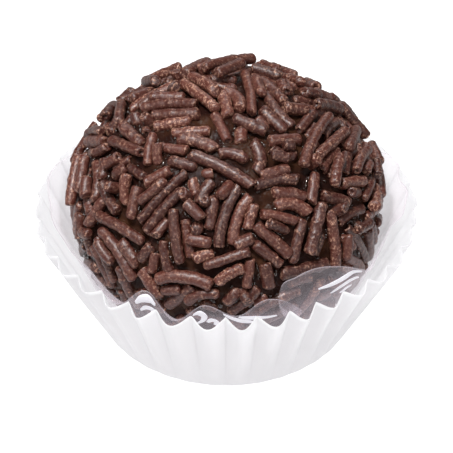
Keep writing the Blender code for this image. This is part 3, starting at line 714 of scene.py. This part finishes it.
def coat_of_sprinkles():
    """The sprinkles of the solid part, then the small ones that fill its gaps."""
    draw = np.random.default_rng(SEED)
    coating = Coating()
    for bearing, latitude, heading, length, bend, rise in LANDMARKS:
        middles, directions = lies_from_angles([bearing], [latitude], [heading])
        line = centrelines(middles, directions, length, [bend], (rise, rise))[0]
        coating.add(line, some_radius(draw), length, directions[0])
    lay_sprinkles(
        draw, coating, SHORTEST + (LONGEST - SHORTEST) * draw.beta(1.5, 2.6, SPRINKLE_COUNT)
    )
    stand_sprinkles(draw, coating)
    coating.touching = FILL_TOUCHING
    coating.pile_above = FILL_ABOVE_Z
    coating.pile_rises = FILL_RISES
    lay_sprinkles(
        draw, coating,
        FILL_SHORTEST + (FILL_LONGEST - FILL_SHORTEST) * draw.beta(1.6, 1.9, FILL_COUNT),
    )
    return coating


# -------------------------------- the sprinkles' shape

def rod_end(draw, radius):
    """(share of the radius, distance in from the tip) of the rings that close one end of a rod."""
    kind = draw.random()
    corner = draw.uniform(*BLUNT_CORNERS) if kind < BLUNT_SHARE else ROUND_CORNER
    hollow = radius * draw.uniform(*HOLLOW_DEPTHS) if kind < HOLLOW_SHARE else 0.0
    turn = np.radians(END_TURNS)
    shares = 1.0 - corner + corner * np.sin(turn)
    depths = radius * corner * draw.uniform(0.65, 0.95) * (1.0 - np.cos(turn))
    middle = [(0.0, hollow), (0.55 * (1.0 - corner), 0.85 * hollow)]
    return middle + list(zip(shares.tolist(), depths.tolist()))


def rod_points(draw, line, radius):
    """Rings of points round a rod that follows this line, their number, and each point's wear."""
    apart = np.linalg.norm(np.diff(line, axis=0), axis=1)
    along = np.concatenate(([0.0], np.cumsum(apart)))
    length = along[-1]
    wrinkled = draw.random() < WRINKLED_SHARE
    step = ROD_STEP * (WRINKLED_STEP_SHARE if wrinkled else 1.0)
    first, last = rod_end(draw, radius), rod_end(draw, radius)
    start = [distance for _, distance in first]
    end = [length - distance for _, distance in reversed(last)]
    body = max(3, round((end[0] - start[-1]) / step))
    inner = list(np.linspace(start[-1], end[0], body + 1)[1:-1])
    places = np.array(start + inner + end)
    shares = np.array([s for s, _ in first] + [1.0] * len(inner) + [s for s, _ in reversed(last)])
    shares = np.maximum(shares, 0.02)
    centres = np.stack([np.interp(places, along, line[:, axis]) for axis in range(3)], axis=1)
    path = np.gradient(line, axis=0)
    tangents = np.stack([np.interp(places, along, path[:, axis]) for axis in range(3)], axis=1)
    tangents = unit(tangents)
    outward = unit(centres - (0.0, 0.0, CORE_CENTRE_Z))
    across = unit(np.cross(tangents, outward))
    upward = np.cross(across, tangents)
    angle = np.arange(ROD_SIDES) * (2.0 * math.pi / ROD_SIDES)
    s, a = places[:, None], angle[None]
    proud = np.zeros((len(places), ROD_SIDES))
    for pitch, most, height, count in ROD_LUMPS:
        for _ in range(count):
            turns = draw.integers(0, most + 1)
            pace = 2.0 * math.pi / (pitch * draw.uniform(0.8, 1.3))
            proud += height * np.sin(pace * s + turns * a + draw.uniform(0.0, 2.0 * math.pi))
    if wrinkled:
        pitch = draw.uniform(*WRINKLE_PITCHES)
        fade_at = 2.0 * math.pi * s / WRINKLE_FADE + draw.uniform(0.0, MOST_PHASE)
        slant = 0.9 * np.sin(a + draw.uniform(0.0, MOST_PHASE)) + 1.6 * np.sin(s / WRINKLE_SLANT)
        wrinkles = np.sin(2.0 * math.pi * s / pitch + slant)
        proud += WRINKLE_HEIGHT * (0.5 + 0.5 * np.sin(fade_at)) * wrinkles
    oval = 1.0 + 0.05 * np.cos(2.0 * (a - draw.uniform(0.0, math.pi)))
    taper = 1.0 + draw.uniform(-0.05, 0.05) * (2.0 * s / length - 1.0)
    reach = radius * shares[:, None] * (1.0 + proud * shares[:, None]) * oval * taper
    side, up = np.cos(a) * reach, np.sin(a) * reach
    points = centres[:, None] + across[:, None] * side[..., None] + upward[:, None] * up[..., None]
    for rings, sign in ((slice(0, END_RINGS), 1.0), (slice(-END_RINGS, None), -1.0)):
        tilt = draw.normal(0.0, END_TILT, 2)
        lean = side[rings] * tilt[0] + up[rings] * tilt[1]
        crumb = draw.normal(0.0, END_CRUMB, lean.shape) * (shares[rings, None] < 0.95)
        points[rings] += tangents[rings, None] * (sign * lean + crumb)[..., None]
    near_tip = np.exp(-np.minimum(s, length - s) / TIP_WEAR_REACH)
    wear = np.clip(proud * 7.0, 0.0, 0.8) + TIP_WEAR * near_tip
    return points.reshape(-1, 3), len(places), wear.reshape(-1)


def make_sprinkles(coating, material):
    """The sprinkles as three pieces, by length."""
    draw = np.random.default_rng(SEED + 1)
    kinds = {"sprinkles_long": [], "sprinkles_mid": [], "sprinkles_short": []}
    for line, radius, length in zip(coating.lines, coating.radii, coating.lengths):
        kind = "long" if length > LONG_ROD else "mid" if length > SHORT_ROD else "short"
        kinds["sprinkles_" + kind].append((line, radius))
    pieces = []
    for name, rods in kinds.items():
        points, faces, tones, wears = [], [], [], []
        start = 0
        for line, radius in rods:
            made, rings, wear = rod_points(draw, line, radius)
            dust = draw.uniform(0.3, 0.6) if draw.random() < DUSTY_SHARE else 0.0
            points.append(made)
            wears.append(wear + dust)
            tones.append(np.full(len(made), np.clip(draw.normal(0.45, 0.28) + dust, 0.0, 1.1)))
            faces += grid_faces(rings, ROD_SIDES, start)
            faces.append(list(range(start + ROD_SIDES - 1, start - 1, -1)))
            last = start + (rings - 1) * ROD_SIDES
            faces.append(list(range(last, last + ROD_SIDES)))
            start += len(made)
        pieces.append(add_mesh(
            name, np.concatenate(points), faces, material,
            attributes={"tone": np.concatenate(tones), "wear": np.concatenate(wears)},
        ))
    return pieces


def ball_mesh(subdivisions):
    """Points and triangles of a ball of radius 1."""
    bm = bmesh.new()
    bmesh.ops.create_icosphere(bm, subdivisions=subdivisions, radius=1.0)
    bm.verts.index_update()
    points = np.array([vert.co for vert in bm.verts])
    faces = np.array([[vert.index for vert in face.verts] for face in bm.faces])
    bm.free()
    return points, faces


def make_fudge(coating, material):
    """The fudge between the sprinkles: it climbs a little where a sprinkle presses into it."""
    points, faces = ball_mesh(FUDGE_SUBDIVISIONS)
    draw = np.random.default_rng(SEED + 2)
    points, normals = onto_core(points * core_axes() + (0.0, 0.0, CORE_CENTRE_Z))
    marks = coating.lines.reshape(-1, 3)
    between = 0.5 * (coating.lines[:, 1:] + coating.lines[:, :-1]).reshape(-1, 3)
    marks = np.concatenate((marks, between))
    tree = kdtree.KDTree(len(marks))
    for index, mark in enumerate(marks):
        tree.insert(mark, index)
    tree.balance()
    apart = np.array([tree.find(point)[2] for point in points])
    lift = FUDGE_FILLET * smooth_step(*FUDGE_FILLET_SPAN, apart)
    for height, wavelength, count in FUDGE_WAVES:
        lift += height * waves(points, wavelength, draw, count)
    points = points + normals * lift[:, None]
    points[:, 2] = np.maximum(points[:, 2], BALL_FLOOR_Z)
    return add_mesh("fudge_ball", points, faces.tolist(), material)


def make_wet_beads(coating, fudge, material):
    """Small glossy beads and ridges of wet fudge that stand against the sprinkles' sides."""
    draw = np.random.default_rng(SEED + 4)
    skin = bvhtree.BVHTree.FromPolygons(
        [vert.co for vert in fudge.data.vertices],
        [face.vertices for face in fudge.data.polygons],
    )
    ball, ball_faces = ball_mesh(1)
    points, faces = [], []
    for index in draw.integers(0, len(coating.lines), BEAD_COUNT):
        line = coating.lines[index]
        spot = draw.integers(0, LINE_POINTS - 1)
        run = line[spot + 1] - line[spot]
        beside = line[spot] + run * draw.random()
        side = unit(np.cross(onto_core(beside[None])[1][0], run)) * draw.choice((-1.0, 1.0))
        beside = beside + side * (coating.radii[index] + draw.uniform(*BEAD_GAPS))
        place, up, _, apart = skin.find_nearest(Vector(beside))
        long, wide, high = draw.uniform(BEAD_SMALLEST, BEAD_LARGEST)
        if apart > BEAD_REACH or place.z < BEAD_LOWEST_Z:
            continue
        across = unit(np.cross(up, run))
        axes = np.stack((np.cross(across, up) * long, across * wide, np.array(up) * high))
        faces += (ball_faces + len(points) * len(ball)).tolist()
        points.append(np.array(place) + ball @ axes)
    return add_mesh("wet_beads", np.concatenate(points), faces, material)


# -------------------------------- the paper case

def flute_columns():
    """(bearing, rim radius, rim height) of each column of the fluted wall, valley first."""
    draw = random.Random(SEED)
    starts = list(TIP_BEARINGS)
    pitch = (starts[0] + 360.0 - starts[-1]) / (FLUTES - len(starts) + 1)
    for flute in range(1, FLUTES - len(starts) + 1):
        starts.append(TIP_BEARINGS[-1] + pitch * (flute + draw.uniform(-0.12, 0.12)))
    starts.append(starts[0] + 360.0)
    columns = []
    for start, end in zip(starts, starts[1:]):
        depth = (RIDGE_RADIUS - VALLEY_RADIUS) * draw.uniform(0.82, 1.0)
        lift = draw.uniform(-0.00012, 0.00012)
        for column in range(FLUTE_COLUMNS):
            across = column / FLUTE_COLUMNS
            bearing = start + (end - start) * across
            side = math.sin(math.radians(bearing)) ** 2
            lobe = (0.5 - 0.5 * math.cos(2.0 * math.pi * across)) ** 0.62
            eased = depth * (1.0 - SIDE_EASE * side)
            radius = VALLEY_RADIUS + SIDE_SPREAD * side + depth - eased + eased * lobe
            height = VALLEY_HEIGHT + (RIDGE_HEIGHT - VALLEY_HEIGHT) * lobe + lift * (1.0 - lobe)
            height += RIM_RISE * math.exp(-((bearing - RIM_RISE_AT) / RIM_RISE_WIDTH) ** 2)
            columns.append((math.radians(bearing), radius, height))
    return np.array(columns)


def round_points(bearing, radius, height):
    return np.stack((radius * np.sin(bearing), -radius * np.cos(bearing), height), axis=-1)


def make_paper_case(material):
    """The case's floor and wall as one thin sheet, fluted from its rounded corner upwards."""
    bearing, rim_radius, rim_height = flute_columns().T
    level = np.ones(len(bearing))
    draw = np.random.default_rng(SEED + 3)
    sway = sum(
        draw.uniform(0.4, 1.0) * np.sin(turns * bearing + draw.uniform(0.0, MOST_PHASE))
        for turns in (7, 11, 17, 23)
    )
    rows = [round_points(bearing, level * radius, level * 0.0) for radius in PAPER_FLOOR_RADII]
    for share in (0.0, 0.35, 0.7):
        radius = BASE_RADIUS - BASE_INSET * (1.0 - share) ** 1.6
        rows.append(round_points(bearing, level * radius, level * BASE_LIFT * share**2))
    for ring in range(PAPER_RINGS):
        share = WALL_START + (1.0 - WALL_START) * ring / (PAPER_RINGS - 1)
        radius = BASE_RADIUS + (rim_radius - BASE_RADIUS) * share
        radius = radius + PAPER_SWAY * sway * math.sin(math.pi * share) * share
        rows.append(round_points(bearing, radius, rim_height * share))
    points = np.concatenate(rows)
    faces = grid_faces(len(rows), len(bearing))
    faces.append(list(range(len(bearing) - 1, -1, -1)))
    # Painted shade: the paper's colour is made a little greyer at the sides of its rim.
    side = np.tile(np.sin(bearing) ** 2, len(rows)) * np.clip(points[:, 2] / RIDGE_HEIGHT, 0, 1)
    case = add_mesh("fluted_case", points, faces, material, attributes={"side": side})
    thicken(case, PAPER_THICKNESS, -1.0)
    return case


# -------------------------------- the film liner

def film_edge(foot):
    """(bearing, radius, height) of the film's edge above each foot bearing, smoothly joined."""
    table = np.array(FILM_EDGE, float)
    below, above = table[-4:].copy(), table[:4].copy()
    below[:, :2] -= 360.0
    above[:, :2] += 360.0
    table = np.concatenate((below, table, above))
    feet, values = table[:, 0], table[:, 1:]
    slopes = np.gradient(values, feet, axis=0)
    index = np.clip(np.searchsorted(feet, foot, side="right") - 1, 0, len(feet) - 2)
    step = (feet[index + 1] - feet[index])[:, None]
    share = (foot - feet[index])[:, None] / step
    first, last = values[index], values[index + 1]
    return (
        first * (2.0 * share**3 - 3.0 * share**2 + 1.0)
        + slopes[index] * step * (share**3 - 2.0 * share**2 + share)
        + last * (3.0 * share**2 - 2.0 * share**3)
        + slopes[index + 1] * step * (share**3 - share**2)
    ).T


def film_points(foot, depth):
    """Points of the film's wall above these foot bearings, at these depths below its edge."""
    edge_bearing, edge_radius, edge_z = film_edge(foot)
    corner_radius, corner_z = FILM_CORNER
    top_radius, top_z = FILM_WALL_TOP
    slope = (top_radius - corner_radius) / (top_z - corner_z)
    wall_z = np.minimum(top_z, edge_z - FILM_LEAST_LIP)
    lip = edge_z - wall_z
    z = np.maximum(edge_z - depth, corner_z)
    share = np.clip((z - wall_z) / lip, 0.0, 1.0)
    wall = corner_radius + slope * (z - corner_z)
    flat_wall = corner_radius + slope * (wall_z - corner_z)
    flare = flat_wall + (edge_radius - flat_wall) * share**2.2
    radius = np.where(share > 0.0, np.maximum(flare, wall * (1.0 - share) + flare * share), wall)
    twist = smooth_step(corner_z + 0.004, edge_z, z) ** 1.5
    bearing = np.radians(foot + (edge_bearing - foot) * twist)
    ripple = smooth_step(0.006, 0.014, z) * FILM_RIPPLE
    radius = radius + ripple * np.sin(np.radians(foot) * FILM_RIPPLES + 1.0)
    return round_points(bearing, radius, z)


def wrapped(degrees):
    """The same angle between -180 and 180."""
    return (degrees + 180.0) % 360.0 - 180.0


def foot_under(bearing, height, low, high):
    """The feet between low and high above which the film passes through these places."""
    feet = np.linspace(low, high, 400)
    edge = film_edge(wrapped(feet))[2]
    found = []
    for aim, level in zip(bearing, height):
        x, y, _ = film_points(wrapped(feet), np.maximum(edge - level, 0.0)).T
        off = wrapped(np.degrees(np.arctan2(x, -y)) - aim)
        found.append(feet[np.abs(off).argmin()])
    kernel = np.array((1.0, 2.0, 1.0)) / 4.0
    found[1:-1] = np.convolve(found, kernel, "valid").tolist()
    return np.array(found)


def make_film(material):
    """The film: a flat floor, a wall up the case, and an edge that stands up in waves."""
    foot = -180.0 + 360.0 * np.arange(FILM_COLUMNS) / FILM_COLUMNS
    level = np.ones(FILM_COLUMNS)
    rows = [
        round_points(np.radians(foot), level * radius, level * height)
        for radius, height in FILM_FLOOR
    ]
    heights = film_edge(foot)[2] - FILM_CORNER[1]
    for ring in range(FILM_RINGS):
        share = ring / (FILM_RINGS - 1)
        rows.append(film_points(foot, heights * (1.0 - share) ** 1.35))
    points = np.concatenate(rows)
    faces = grid_faces(len(rows), FILM_COLUMNS)
    faces.append(list(range(FILM_COLUMNS - 1, -1, -1)))
    edge = np.zeros((len(rows), FILM_COLUMNS))
    edge[-1] = 1.0
    film = add_mesh(
        "clear_film_liner", points, faces, material, attributes={"edge": edge.reshape(-1)}
    )
    thicken(film, FILM_THICKNESS)
    return film


def make_strokes(material):
    """Plain curved strokes printed on the film, as thin ribbons on its outer side."""
    kernel = np.array((1.0, 2.0, 3.0, 4.0, 3.0, 2.0, 1.0)) / 16.0
    reach = STROKE_RADIUS * np.radians(1.0)
    points, faces = [], []
    for turn in STROKE_REPEATS:
        for width, feet, route in STROKES:
            route = np.array(route, float) + (turn, 0.0)
            share = np.linspace(0.0, len(route) - 1.0, STROKE_POINTS)
            knots = np.arange(len(route))
            bearing = np.interp(share, knots, route[:, 0])
            height = np.interp(share, knots, route[:, 1])
            for _ in range(3):
                bearing[3:-3] = np.convolve(bearing, kernel, "valid")
                height[3:-3] = np.convolve(height, kernel, "valid")
            foot = foot_under(bearing, height, feet[0] + turn, feet[1] + turn)
            depth = np.maximum(film_edge(wrapped(foot))[2] - height, 1.3 * width)
            taper = np.sin(np.linspace(0.12, 3.02, len(foot))) ** 0.45
            run = np.stack((np.gradient(foot) * reach, -np.gradient(depth)), axis=-1)
            across = unit(np.stack((-run[:, 1], run[:, 0]), axis=-1)) * width * taper[:, None]
            sides = []
            for sign in (-1.0, -0.33, 0.33, 1.0):
                beside = film_points(
                    wrapped(foot + sign * across[:, 0] / reach),
                    np.maximum(depth - sign * across[:, 1], STROKE_LIFT),
                )
                outward = unit(beside * (1.0, 1.0, 0.0))
                sides.append(beside + outward * STROKE_LIFT)
            low = len(points) * len(sides) * STROKE_POINTS
            points.append(np.concatenate(sides))
            for _ in range(len(sides) - 1):
                high = low + STROKE_POINTS
                faces += [
                    (low + i, low + i + 1, high + i + 1, high + i)
                    for i in range(STROKE_POINTS - 1)
                ]
                low = high
    ink = add_mesh("film_print", np.concatenate(points), faces, material)
    thicken(ink, STROKE_THICKNESS)
    return ink


# -------------------------------- the studio

def add_aimed(name, data, place, aim):
    """Adds a light or a camera at this place, turned towards its aim."""
    thing = bpy.data.objects.new(name, data)
    thing.location = place
    thing.rotation_euler = (Vector(aim) - Vector(place)).to_track_quat("-Z", "Y").to_euler()
    bpy.context.scene.collection.objects.link(thing)
    return thing


def make_studio():
    """The staged floor, the room's light, the lamps and the camera."""
    corners = FLOOR_REACH * np.array(((-1, -1, 0), (1, -1, 0), (1, 1, 0), (-1, 1, 0)))
    floor = add_mesh("studio_floor", corners, [(0, 1, 2, 3)], floor_material(), smooth=False)
    floor.location.z = -FLOOR_DROP
    scene = bpy.context.scene
    scene.world = bpy.data.worlds.new("studio")
    scene.world.use_nodes = True
    nodes = scene.world.node_tree.nodes
    link = scene.world.node_tree.links.new
    room = nodes["Background"]
    room.inputs["Color"].default_value = (1.0, 1.0, 1.0, 1.0)
    seen = nodes.new("ShaderNodeBackground")
    seen.inputs["Strength"].default_value = BACKDROP_GLOW
    rays = nodes.new("ShaderNodeLightPath")
    glow = nodes.new("ShaderNodeMapRange")
    glow.inputs["To Min"].default_value = ROOM_LIGHT
    glow.inputs["To Max"].default_value = ROOM_GLOSS
    link(rays.outputs["Is Glossy Ray"], glow.inputs["Value"])
    link(glow.outputs["Result"], room.inputs["Strength"])
    either = nodes.new("ShaderNodeMixShader")
    link(rays.outputs["Is Camera Ray"], either.inputs[0])
    link(room.outputs[0], either.inputs[1])
    link(seen.outputs[0], either.inputs[2])
    link(either.outputs[0], nodes["World Output"].inputs["Surface"])
    for name, place, size, power in LIGHTS:
        light = bpy.data.lights.new(name, "AREA")
        light.shape = "SQUARE"
        light.size = size
        light.energy = power
        add_aimed(name, light, place, LIGHT_AIM)
    camera = bpy.data.cameras.new("photo_camera")
    camera.lens = LENS
    camera.sensor_width = SENSOR_WIDTH
    camera.clip_start = NEAREST_SEEN
    scene.camera = add_aimed("photo_camera", camera, CAMERA_POINT, CAMERA_AIM)
    scene.view_settings.view_transform = "Standard"
    scene.view_settings.look = "None"


def dress(piece, node):
    """Fixes this piece to the part in place of this node."""
    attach(piece, "root")
    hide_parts(node)


def main():
    coating = coat_of_sprinkles()
    fudge = make_fudge(coating, fudge_material())
    dress(fudge, "bonbon")
    dress(make_wet_beads(coating, fudge, bead_material()), "bonbon")
    for piece in make_sprinkles(coating, sprinkle_material()):
        dress(piece, "bonbon")
    dress(make_paper_case(paper_material()), "paper_case")
    dress(make_film(film_material()), "film_liner")
    dress(make_strokes(ink_material()), "film_liner")
    make_studio()


main()
